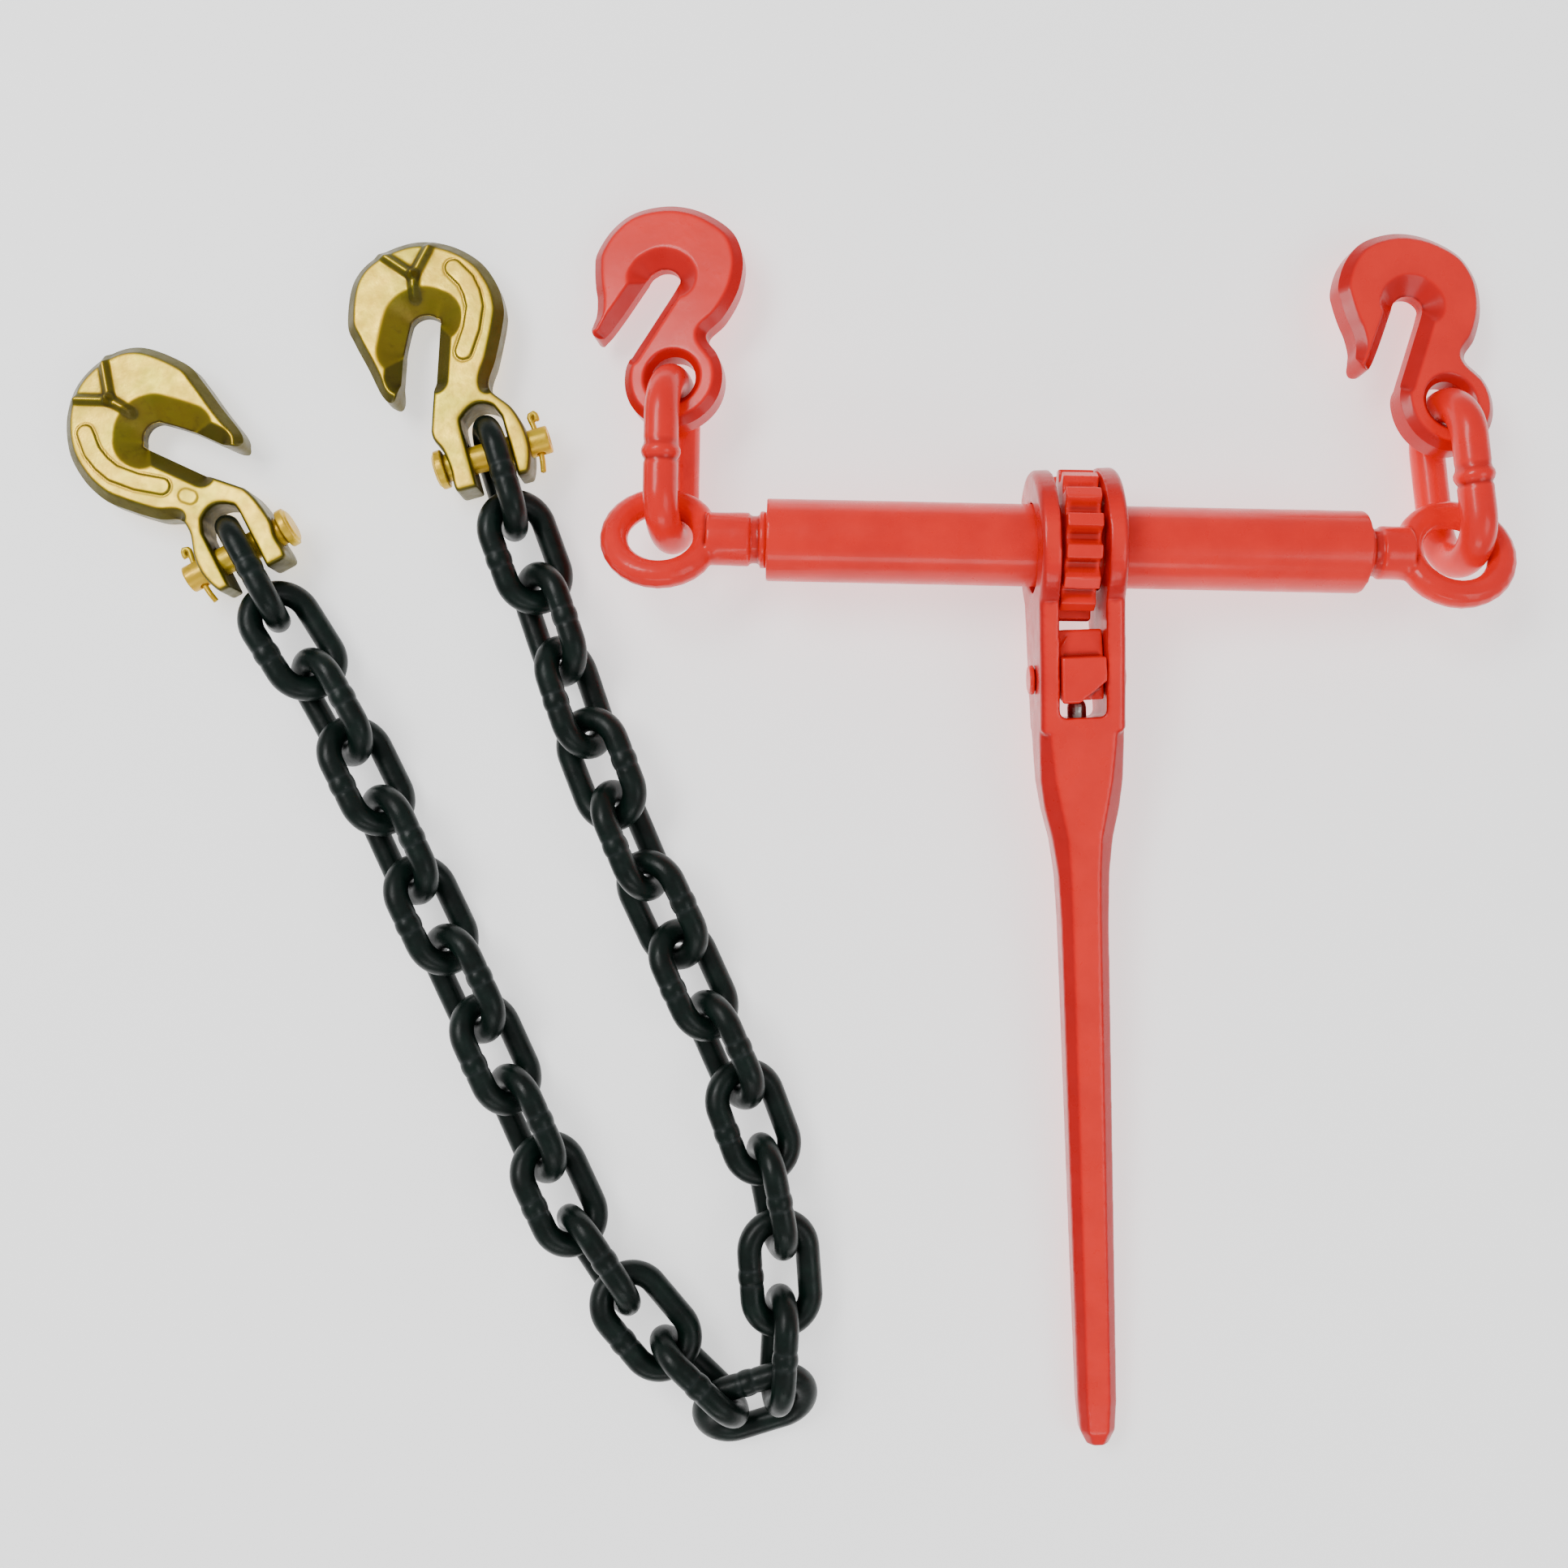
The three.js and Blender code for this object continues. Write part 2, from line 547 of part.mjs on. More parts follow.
function eyeHookSolid() {
  const plate = toManifold(bevelledPlate([...EYE_HOOK_OUTLINE].reverse(), EYE_THICKNESS, 2.2));
  const hole = toManifold(new THREE.CylinderGeometry(EYE_HOLE, EYE_HOLE, 30, 28).rotateX(Math.PI / 2));
  const flare = new THREE.CylinderGeometry(EYE_HOLE + 2.6, EYE_HOLE - 0.2, 2.8, 28).rotateX(Math.PI / 2);
  const upper = toManifold(flare).translate([0, 0, EYE_THICKNESS / 2 - 1.3]);
  const lower = toManifold(flare.clone().rotateX(Math.PI)).translate([0, 0, -EYE_THICKNESS / 2 + 1.3]);
  return plate.subtract(hole).subtract(upper).subtract(lower);
}

function eyeHookMatrix(frame, setting) {
  const pivot = hookPivot(frame, setting.slide).add(new THREE.Vector3(...setting.shift));
  return new THREE.Matrix4()
    .makeRotationZ((setting.heading - 90) * DEG)
    .multiply(new THREE.Matrix4().makeRotationX(-setting.pitch * DEG))
    .multiply(new THREE.Matrix4().makeRotationY(setting.roll * DEG))
    .setPosition(pivot);
}

const eyeHook = toGeometry(eyeHookSolid());
const leftEnd = endLinkFrame(LEFT_END_LINK);
const rightEnd = endLinkFrame(RIGHT_END_LINK);
addNode('end_link_left', endLink, linkMatrix(leftEnd.centre, leftEnd.along, leftEnd.width), RED, 0.2);
addNode('end_link_right', endLink, linkMatrix(rightEnd.centre, rightEnd.along, rightEnd.width), RED, 0.2);
addNode('grab_hook_left', eyeHook, eyeHookMatrix(leftEnd, LEFT_EYE_HOOK), RED, 0.2);
addNode('grab_hook_right', eyeHook, eyeHookMatrix(rightEnd, RIGHT_EYE_HOOK), RED, 0.2);

export default group;
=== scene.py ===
"""Looks for the load binder chain: forged skins, a high detail chain and procedural finishes."""

import json
import math

import bmesh
import bpy
import numpy as np
from mathutils import Matrix, Vector


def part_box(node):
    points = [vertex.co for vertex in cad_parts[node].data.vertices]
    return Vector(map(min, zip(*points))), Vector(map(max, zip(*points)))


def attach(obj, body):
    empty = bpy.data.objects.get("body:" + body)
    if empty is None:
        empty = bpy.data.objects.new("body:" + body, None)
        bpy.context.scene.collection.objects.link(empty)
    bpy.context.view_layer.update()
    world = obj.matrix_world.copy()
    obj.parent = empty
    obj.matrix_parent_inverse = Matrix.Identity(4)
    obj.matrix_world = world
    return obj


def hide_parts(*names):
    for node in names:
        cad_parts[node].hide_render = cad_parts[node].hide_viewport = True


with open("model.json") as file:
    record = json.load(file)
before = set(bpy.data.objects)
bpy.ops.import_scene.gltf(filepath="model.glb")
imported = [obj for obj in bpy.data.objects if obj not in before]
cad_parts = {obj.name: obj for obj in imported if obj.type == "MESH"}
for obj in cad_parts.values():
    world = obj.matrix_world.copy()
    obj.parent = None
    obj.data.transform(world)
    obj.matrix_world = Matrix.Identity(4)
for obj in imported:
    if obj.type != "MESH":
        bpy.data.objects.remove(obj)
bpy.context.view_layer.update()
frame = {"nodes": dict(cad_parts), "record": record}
scene = bpy.context.scene

# ---------------------------------------------------------------- camera, floor, lights

LENS = 36.8                                     # millimetres
SENSOR_WIDTH = 36.0                             # millimetres
CAMERA_PLACE = (-0.0002, 0.0175, 0.650)         # straight above, looking down

camera_data = bpy.data.cameras.new("camera")
camera_data.lens = LENS
camera_data.sensor_width = SENSOR_WIDTH
camera_data.clip_start = 0.01
camera = bpy.data.objects.new("camera", camera_data)
camera.location = CAMERA_PLACE
scene.collection.objects.link(camera)
scene.camera = camera


def area_light(name, place, size, power, tint=(1, 1, 1)):
    """A soft rectangular lamp that points at the origin."""
    data = bpy.data.lights.new(name, "AREA")
    data.shape = "RECTANGLE"
    data.size, data.size_y = size
    data.energy = power
    data.color = tint
    lamp = bpy.data.objects.new(name, data)
    lamp.location = place
    lamp.rotation_euler = (-Vector(place)).to_track_quat("-Z", "Y").to_euler()
    scene.collection.objects.link(lamp)


area_light("key", (-0.75, 0.55, 1.3), (0.9, 0.5), 14)
area_light("fill", (0.95, -0.35, 1.2), (0.7, 0.7), 4, (0.96, 0.98, 1))
area_light("front", (0, -1.2, 0.9), (1.1, 0.3), 4)

world = bpy.data.worlds.new("studio")
scene.world = world
world.use_nodes = True
background = world.node_tree.nodes["Background"]
background.inputs["Color"].default_value = (1, 1, 1, 1)
background.inputs["Strength"].default_value = 0.50

# ---------------------------------------------------------------- materials


class Shader:
    """A principled material with short calls for its nodes.

    The finishes read two attributes of a mesh: face is 1 on broad faces, which the red and gold finishes
    paint lit, and 0 on bevels and sides, which they paint in shade; crease is 1 in the bottom of a concave
    corner, where they paint shade.
    """

    def __init__(self, name, **constants):
        self.material = bpy.data.materials.new(name)
        self.material.use_nodes = True
        self.tree = self.material.node_tree
        self.surface = self.tree.nodes["Principled BSDF"]
        for key, value in constants.items():
            self.surface.inputs[key.replace("_", " ")].default_value = value
        self.coordinates = self.tree.nodes.new("ShaderNodeTexCoord").outputs["Object"]

    def noise(self, scale, detail=4.0, roughness=0.55):
        node = self.tree.nodes.new("ShaderNodeTexNoise")
        node.inputs["Scale"].default_value = scale
        node.inputs["Detail"].default_value = detail
        node.inputs["Roughness"].default_value = roughness
        self.tree.links.new(self.coordinates, node.inputs["Vector"])
        return node.outputs["Fac"]

    def attribute(self, name):
        node = self.tree.nodes.new("ShaderNodeAttribute")
        node.attribute_name = name
        return node.outputs["Fac"]

    def ramp(self, factor, *stops):
        node = self.tree.nodes.new("ShaderNodeValToRGB")
        ramp = node.color_ramp
        while len(ramp.elements) < len(stops):
            ramp.elements.new(0.5)
        for element, (place, color) in zip(ramp.elements, stops):
            element.position = place
            element.color = (*color, 1)
        self.tree.links.new(factor, node.inputs["Fac"])
        return node.outputs["Color"]

    def mix(self, factor, a, b, blend="MIX"):
        node = self.tree.nodes.new("ShaderNodeMix")
        node.data_type = "RGBA"
        node.blend_type = blend
        color_a, color_b = node.inputs[6], node.inputs[7]
        for socket, value in ((node.inputs["Factor"], factor), (color_a, a), (color_b, b)):
            if hasattr(value, "node"):
                self.tree.links.new(value, socket)
            elif isinstance(value, tuple):
                socket.default_value = (*value, 1)
            else:
                socket.default_value = value
        return node.outputs[2]

    def spread(self, factor, low, high):
        """Maps the middle of a noise's range to low and high."""
        node = self.tree.nodes.new("ShaderNodeMapRange")
        node.inputs["From Min"].default_value = 0.3
        node.inputs["From Max"].default_value = 0.7
        node.inputs["To Min"].default_value = low
        node.inputs["To Max"].default_value = high
        self.tree.links.new(factor, node.inputs["Value"])
        return node.outputs["Result"]

    def bump(self, height, depth, strength=1.0, under=None):
        node = self.tree.nodes.new("ShaderNodeBump")
        node.inputs["Strength"].default_value = strength
        node.inputs["Distance"].default_value = depth
        self.tree.links.new(height, node.inputs["Height"])
        if under is not None:
            self.tree.links.new(under, node.inputs["Normal"])
        self.tree.links.new(node.outputs["Normal"], self.surface.inputs["Normal"])
        return node.outputs["Normal"]

    def feed(self, key, output):
        self.tree.links.new(output, self.surface.inputs[key])


def red_enamel():
    paint = Shader("red_enamel", Metallic=0.0, Coat_Weight=0.22, Coat_Roughness=0.12,
                   Specular_IOR_Level=0.28)
    # The face ramp paints light and shade: bevels and sides in shade, dark red, and broad faces lit, bright
    # red.
    face = paint.ramp(paint.attribute("face"), (0.0, (0.60, 0.001, 0.0005)), (0.7, (0.88, 0.002, 0.001)),
                      (1.0, (1.0, 0.022, 0.014)))
    cloud = paint.ramp(paint.noise(60, 5), (0.35, (0.90, 0.86, 0.86)), (0.65, (1, 1, 1)))
    # The painted face light and shade, times a random tone.
    painted_face_light_and_tint = paint.mix(1.0, face, cloud, "MULTIPLY")
    # Painted shade: the colour darkens towards the bottom of concave corners.
    painted_crease_shade = paint.ramp(paint.attribute("crease"), (0.0, (1, 1, 1)), (1.0, (0.42, 0.30, 0.30)))
    paint.feed("Base Color", paint.mix(1.0, painted_face_light_and_tint, painted_crease_shade, "MULTIPLY"))
    paint.feed("Roughness", paint.spread(paint.noise(140, 6), 0.24, 0.40))
    fine = paint.bump(paint.noise(900, 2), 0.00003, 0.5)
    paint.bump(paint.noise(110, 3), 0.00022, 0.6, fine)
    return paint.material


def gold_zinc():
    zinc = Shader("gold_zinc", Metallic=0.45, Specular_IOR_Level=0.4)
    # The face ramp paints light and shade: bevels and sides in shade, dark olive, and broad faces lit, pale
    # gold.
    face = zinc.ramp(zinc.attribute("face"), (0.0, (0.10, 0.08, 0.003)), (0.45, (0.30, 0.22, 0.005)),
                     (0.85, (0.95, 0.60, 0.025)), (1.0, (1.0, 0.70, 0.05)))
    shimmer = zinc.ramp(zinc.noise(70, 5, 0.6), (0.32, (1.0, 0.84, 0.72)), (0.5, (1, 1, 1)),
                        (0.68, (0.80, 1.0, 0.72)))
    # The painted face light and shade, with a random tint over part of it.
    painted_face_light_and_tint = zinc.mix(0.55, face, zinc.mix(1.0, face, shimmer, "MULTIPLY"))
    stain = zinc.ramp(zinc.noise(240, 6, 0.7), (0.34, (0.55, 0.45, 0.35)), (0.46, (1, 1, 1)))
    # Real stains laid over the painted face light and shade.
    painted_face_light_and_stains = zinc.mix(0.35, painted_face_light_and_tint, zinc.mix(1.0, painted_face_light_and_tint, stain, "MULTIPLY"))
    # Painted shade: the colour darkens towards the bottom of concave corners.
    painted_crease_shade = zinc.ramp(zinc.attribute("crease"), (0.0, (1, 1, 1)), (1.0, (0.35, 0.30, 0.22)))
    zinc.feed("Base Color", zinc.mix(1.0, painted_face_light_and_stains, painted_crease_shade, "MULTIPLY"))
    zinc.feed("Roughness", zinc.spread(zinc.noise(160, 6), 0.28, 0.50))
    fine = zinc.bump(zinc.noise(1100, 3), 0.00004, 0.6)
    zinc.bump(zinc.noise(150, 4), 0.00030, 0.7, fine)
    return zinc.material


def black_chain():
    oxide = Shader("black_chain", Metallic=0.0, Coat_Weight=0.03, Coat_Roughness=0.3,
                   Specular_IOR_Level=0.22)
    base = oxide.ramp(oxide.noise(120, 6, 0.6), (0.30, (0.0012, 0.0040, 0.0028)),
                      (0.55, (0.0022, 0.0085, 0.0062)), (0.75, (0.005, 0.015, 0.011)))
    crease = oxide.ramp(oxide.attribute("crease"), (0, (0, 0, 0)), (1, (1, 1, 1)))
    oxide.feed("Base Color", oxide.mix(crease, base, (0.012, 0.018, 0.017)))
    oxide.feed("Roughness", oxide.spread(oxide.noise(260, 6), 0.26, 0.46))
    fine = oxide.bump(oxide.noise(1300, 3), 0.00003, 0.6)
    oxide.bump(oxide.noise(210, 4), 0.00018, 0.7, fine)
    return oxide.material


def plain_steel():
    steel = Shader("plain_steel", Metallic=1.0)
    base = steel.ramp(steel.noise(300, 5), (0.3, (0.38, 0.37, 0.35)), (0.7, (0.62, 0.61, 0.58)))
    steel.feed("Base Color", base)
    steel.feed("Roughness", steel.spread(steel.noise(500, 5), 0.22, 0.42))
    steel.bump(steel.noise(1500, 3), 0.00003, 0.5)
    return steel.material


def pale_floor():
    """A slightly luminous floor, so that it stays pale under soft light."""
    pale = Shader("pale_floor", Metallic=0.0, Specular_IOR_Level=0.2, Emission_Color=(1, 1, 1, 1),
                  Emission_Strength=1.0)
    base = pale.ramp(pale.noise(30, 3), (0.3, (0.93, 0.93, 0.93)), (0.7, (0.95, 0.95, 0.95)))
    pale.feed("Base Color", base)
    pale.feed("Roughness", pale.spread(pale.noise(200, 2), 0.6, 0.75))
    return pale.material


RED = red_enamel()
GOLD = gold_zinc()
BLACK = black_chain()
STEEL = plain_steel()

FLOOR_HALF = 6
floor_mesh = bpy.data.meshes.new("floor")
floor_mesh.from_pydata([(-FLOOR_HALF, -FLOOR_HALF, 0), (FLOOR_HALF, -FLOOR_HALF, 0),
                        (FLOOR_HALF, FLOOR_HALF, 0), (-FLOOR_HALF, FLOOR_HALF, 0)], [], [(0, 1, 2, 3)])
floor_mesh.materials.append(pale_floor())
floor = bpy.data.objects.new("floor", floor_mesh)
scene.collection.objects.link(floor)

# ---------------------------------------------------------------- mesh tools

MERGE_DISTANCE = 1e-6
FULL_CREASE = 260                               # concave curvature, per metre, of a full crease


def points_of(obj):
    co = np.zeros(len(obj.data.vertices) * 3)
    obj.data.vertices.foreach_get("co", co)
    return co.reshape(-1, 3)


def normals_of(obj):
    n = np.zeros(len(obj.data.vertices) * 3)
    obj.data.vertex_normals.foreach_get("vector", n)
    return n.reshape(-1, 3)


def set_points(obj, co):
    obj.data.vertices.foreach_set("co", co.astype(np.float32).ravel())
    obj.data.update()


def set_attribute(obj, name, values):
    layer = obj.data.attributes.get(name) or obj.data.attributes.new(name, "FLOAT", "POINT")
    layer.data.foreach_set("value", np.clip(values, 0, 1).astype(np.float32))


def relax(obj, passes, factor=0.5):
    """Evens the surface out by moving each vertex towards its neighbours' mean."""
    edges = np.zeros(len(obj.data.edges) * 2, int)
    obj.data.edges.foreach_get("vertices", edges)
    a, b = edges.reshape(-1, 2).T
    count = len(obj.data.vertices)
    degree = np.maximum(np.bincount(np.r_[a, b], minlength=count), 1)[:, None]
    co = points_of(obj)
    for _ in range(passes):
        total = np.stack([np.bincount(np.r_[a, b], np.r_[co[b, k], co[a, k]], count) for k in range(3)], 1)
        co = co + factor * (total / degree - co)
    set_points(obj, co)


def creases(obj, spread=6):
    """0 on flat and convex surface, 1 in the bottom of a concave corner."""
    edges = np.zeros(len(obj.data.edges) * 2, int)
    obj.data.edges.foreach_get("vertices", edges)
    a, b = edges.reshape(-1, 2).T
    count = len(obj.data.vertices)
    co, normal = points_of(obj), normals_of(obj)
    step = co[b] - co[a]
    length = np.maximum(np.linalg.norm(step, axis=1), 1e-9)
    bend = -((normal[b] - normal[a]) * step).sum(1) / length ** 2
    degree = np.maximum(np.bincount(np.r_[a, b], minlength=count), 1)
    value = np.bincount(np.r_[a, b], np.r_[bend, bend], count) / degree
    for _ in range(spread):
        value = np.bincount(np.r_[a, b], np.r_[value[b], value[a]], count) / degree
    return np.clip(value / FULL_CREASE, 0, 1)


def refine(obj, voxel, passes):
    """Rebuilds a closed mesh from small even cells and softens it."""
    work = bmesh.new()
    work.from_mesh(obj.data)
    bmesh.ops.remove_doubles(work, verts=work.verts, dist=MERGE_DISTANCE)
    work.to_mesh(obj.data)
    work.free()
    remesh = obj.modifiers.new("remesh", "REMESH")
    remesh.mode = "VOXEL"
    remesh.voxel_size = voxel
    bpy.context.view_layer.update()
    fine = bpy.data.meshes.new_from_object(obj.evaluated_get(bpy.context.evaluated_depsgraph_get()))
    obj.modifiers.clear()
    obj.data = fine
    relax(obj, passes)


def skin(node, body, voxel, passes, material):
    """A fine, softened copy of a CAD node that stands for it and rides on its body."""
    obj = bpy.data.objects.new(node + "_skin", frame["nodes"][node].data.copy())
    scene.collection.objects.link(obj)
    refine(obj, voxel, passes)
    settle(obj, node, body, material)
    return obj


def settle(obj, node, body, material):
    """Gives a piece its finish and makes it stand for a CAD node."""
    finish_piece(obj, material)
    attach(obj, body)
    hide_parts(node)


def finish_piece(obj, material):
    obj.data.materials.clear()
    obj.data.materials.append(material)
    obj.data.polygons.foreach_set("use_smooth", [True] * len(obj.data.polygons))


def shade_faces(obj, normal, soft=0.2):
    """Marks broad faces square to the plate's normal as face 1, painted lit, and bevels and sides as face 0,
    painted in shade; marks concave corners as crease, painted in shade.
    """
    level = np.abs(normals_of(obj) @ np.array(normal))
    set_attribute(obj, "face", (level - (1 - soft)) / soft)
    set_attribute(obj, "crease", creases(obj))


def shade_evenly(obj, level):
    """Gives a round piece, which has no broad face, one face value all over."""
    set_attribute(obj, "face", np.full(len(obj.data.vertices), level))
    set_attribute(obj, "crease", creases(obj))


# ---------------------------------------------------------------- chain and end links

STEPS_AROUND, STEPS_SECTION = 112, 28
WELD_REACH = 0.0022                             # how far the weld's swelling fades out along the bar
GROOVE_PLACE = 0.0030                           # from the weld's middle to the groove on either side
GROOVE_REACH = 0.0007
GROOVE_DEPTH = 0.7                              # as a share of the swelling
LINK_FACE = 0.82
CHAIN_LINKS = 27


def oval_point(travelled, bow, straight):
    """Point and outward direction at a distance travelled round an oval.

    Its ends are half circles of radius bow, and straight is half the length of its side bars.
    """
    bow_length = math.pi * bow
    if travelled < 2 * straight:
        return (bow, travelled - straight), (1, 0)
    if travelled < 2 * straight + bow_length:
        t = (travelled - 2 * straight) / bow
        return (bow * math.cos(t), straight + bow * math.sin(t)), (math.cos(t), math.sin(t))
    if travelled < 4 * straight + bow_length:
        return (-bow, straight - (travelled - 2 * straight - bow_length)), (-1, 0)
    t = math.pi + (travelled - 4 * straight - bow_length) / bow
    return (bow * math.cos(t), -straight + bow * math.sin(t)), (math.cos(t), math.sin(t))


def link_mesh(name, wire, bow, straight, bead):
    """A round wire link, long axis Y, with a weld swelling on one side bar."""
    total = 2 * (math.pi * bow) + 4 * straight
    verts, faces, weld = [], [], []
    for i in range(STEPS_AROUND):
        centre, out = oval_point(total * i / STEPS_AROUND, bow, straight)
        on_weld_bar = centre[0] > 0 and abs(centre[1]) < straight
        swell = math.exp(-(centre[1] / WELD_REACH) ** 2) if on_weld_bar else 0.0
        groove = math.exp(-((abs(centre[1]) - GROOVE_PLACE) / GROOVE_REACH) ** 2) if on_weld_bar else 0.0
        radius = wire / 2 + bead * (swell - GROOVE_DEPTH * groove)
        for k in range(STEPS_SECTION):
            angle = 2 * math.pi * k / STEPS_SECTION
            r, z = radius * math.cos(angle), radius * math.sin(angle)
            verts.append((centre[0] + out[0] * r, centre[1] + out[1] * r, z))
            weld.append(groove)
    for i in range(STEPS_AROUND):
        this_ring, next_ring = i * STEPS_SECTION, (i + 1) % STEPS_AROUND * STEPS_SECTION
        for k in range(STEPS_SECTION):
            following = (k + 1) % STEPS_SECTION
            faces.append((this_ring + k, next_ring + k, next_ring + following, this_ring + following))
    mesh = bpy.data.meshes.new(name)
    mesh.from_pydata(verts, [], faces)
    mesh.update()
    for attribute, values in (("crease", weld), ("face", [LINK_FACE] * len(verts))):
        mesh.attributes.new(attribute, "FLOAT", "POINT").data.foreach_set("value", values)
    return mesh


def principal_frame(co):
    """Centre and unit axes (width, along, normal) of a link from its own vertices."""
    unique = np.unique(np.round(co, 6), axis=0)
    centre = unique.mean(0)
    _, axes = np.linalg.eigh(np.cov((unique - centre).T))
    normal, width, along = axes.T
    if np.linalg.det(np.stack([width, along, normal])) < 0:
        normal = -normal
    return centre, width, along, normal


def link_piece(node, mesh, material):
    """Lays a copy of the link mesh where the CAD node is, with its weld on the higher bar."""
    centre, width, along, normal = principal_frame(points_of(frame["nodes"][node]))
    if width[2] < 0:
        width, normal = -width, -normal
    obj = bpy.data.objects.new(node + "_skin", mesh.copy())
    scene.collection.objects.link(obj)
    turn = np.stack([width, along, normal], 1)
    set_points(obj, points_of(obj) @ turn.T + centre)
    finish_piece(obj, material)
    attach(obj, node)
    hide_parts(node)


# The wire is 9.7 mm where the CAD's is 10 mm, meant to make neighbouring links touch less at their limits.
chain_mesh = link_mesh("chain_link", wire=0.0097, bow=0.01175, straight=0.0089, bead=0.00035)
for number in range(1, CHAIN_LINKS + 1):
    link_piece("chain_link_%02d" % number, chain_mesh, BLACK)

end_mesh = link_mesh("end_link", wire=0.0134, bow=0.01575, straight=0.0145, bead=0.0010)
for side in ("left", "right"):
    link_piece("end_link_" + side, end_mesh, RED)

# ---------------------------------------------------------------- hooks

CURVE_STEPS = 10
LEAST_HEIGHT = 0.22                             # of the plate's half thickness, left at a sloped edge
PANEL_BLEND = 0.0003                            # half the width of a raised panel's edge
HOOK_VOXEL = 0.00045


def joint_axes(joint_name):
    """A joint's point and its axis."""
    for joint in frame["record"]["behaviour"]["joints"]:
        if joint["name"] == joint_name:
            return np.array(joint["pos_m"], float), np.array(joint["axis"], float)
    raise KeyError(joint_name)


def flowing(points, straight=()):
    """A closed outline in metres through points in millimetres, and the span that each of its rows is on.

    The spans numbered in straight stay straight, and the others curve.
    """
    p = np.array(points, float) / 1000
    count = len(p)
    rows, owner = [], []
    for i in range(count):
        a, b, c, d = p[i - 1], p[i], p[(i + 1) % count], p[(i + 2) % count]
        steps = 1 if i in straight else CURVE_STEPS
        for t in np.arange(steps) / steps:
            if i in straight:
                rows.append(b + t * (c - b))
            else:
                rows.append(0.5 * (2 * b + (c - a) * t + (2 * a - 5 * b + 4 * c - d) * t ** 2
                                   + (3 * b - a - 3 * c + d) * t ** 3))
            owner.append(i)
    return np.array(rows), np.array(owner)


def path_distance(plane, rows, closed):
    """Distance from each point to a chain of straight pieces."""
    ends = np.roll(rows, -1, 0) if closed else rows[1:]
    best = np.full(len(plane), 1.0)
    for a, b in zip(rows, ends):
        d = b - a
        t = np.clip(((plane - a) @ d) / max(d @ d, 1e-18), 0, 1)
        best = np.minimum(best, np.hypot(*(plane - a - t[:, None] * d).T))
    return best


def plate(name, outlines, thickness, bevel):
    """A flat solid with rounded rims from closed outlines, the first outer and the rest holes."""
    data = bpy.data.curves.new(name, "CURVE")
    data.dimensions = "2D"
    data.fill_mode = "BOTH"
    data.extrude = thickness / 2 - bevel
    data.bevel_depth = bevel
    data.bevel_resolution = 3
    data.offset = -bevel
    for rows in outlines:
        spline = data.splines.new("POLY")
        spline.points.add(len(rows) - 1)
        spline.points.foreach_set("co", np.c_[rows, np.zeros(len(rows)), np.ones(len(rows))].ravel())
        spline.use_cyclic_u = True
    temporary = bpy.data.objects.new(name, data)
    scene.collection.objects.link(temporary)
    bpy.context.view_layer.update()
    mesh = bpy.data.meshes.new_from_object(temporary.evaluated_get(bpy.context.evaluated_depsgraph_get()))
    bpy.data.objects.remove(temporary)
    obj = bpy.data.objects.new(name, mesh)
    scene.collection.objects.link(obj)
    return obj


def drill_across(obj, radius, length):
    """Cuts a round hole along the local X axis."""
    work = bmesh.new()
    bmesh.ops.create_cone(work, cap_ends=True, segments=48, radius1=radius, radius2=radius, depth=length)
    bmesh.ops.rotate(work, verts=work.verts, matrix=Matrix.Rotation(math.pi / 2, 3, "Y"))
    mesh = bpy.data.meshes.new("drill")
    work.to_mesh(mesh)
    work.free()
    drill = bpy.data.objects.new("drill", mesh)
    scene.collection.objects.link(drill)
    cut = obj.modifiers.new("cut", "BOOLEAN")
    cut.operation = "DIFFERENCE"
    cut.object = drill
    bpy.context.view_layer.update()
    result = bpy.data.meshes.new_from_object(obj.evaluated_get(bpy.context.evaluated_depsgraph_get()))
    obj.modifiers.clear()
    obj.data = result
    bpy.data.objects.remove(drill)


def limit_height(obj, half, lines):
    """Forges slopes: near each (path, closed, width, slope) the plate thins towards that edge."""
    co = points_of(obj)
    top = np.full(len(co), half)
    for rows, closed, width, slope in lines:
        top = np.minimum(top, half - slope * np.maximum(width - path_distance(co[:, :2], rows, closed), 0))
    co[:, 2] = np.sign(co[:, 2]) * np.minimum(np.abs(co[:, 2]), np.maximum(top, LEAST_HEIGHT * half))
    set_points(obj, co)


def raise_along(obj, rows, profile, up):
    """Lifts the broad face that points up by profile(distance from the path)."""
    co = points_of(obj)
    facing = normals_of(obj)[:, 2]
    broad = np.clip((facing * up - 0.5) / 0.2, 0, 1) * up
    co[:, 2] += profile(path_distance(co[:, :2], rows, False)) * broad
    set_points(obj, co)


def ridge(height, width):
    """A sharp ridge that falls away on both sides of its path."""
    return lambda d: height * np.maximum(1 - d / width, 0)


def panel(height, half_width):
    """A flat raised panel along its path."""
    return lambda d: height * np.clip((half_width + PANEL_BLEND - d) / (2 * PANEL_BLEND), 0, 1)


def groove(depth, away, reach):
    """A narrow groove on each side of its path."""
    return lambda d: -depth * np.exp(-((d - away) / reach) ** 2)


def place(obj, origin, x, y, z):
    """Moves a piece made about the origin to where its own axes are x, y and z."""
    set_points(obj, points_of(obj) @ np.stack([x, y, z]) + origin)

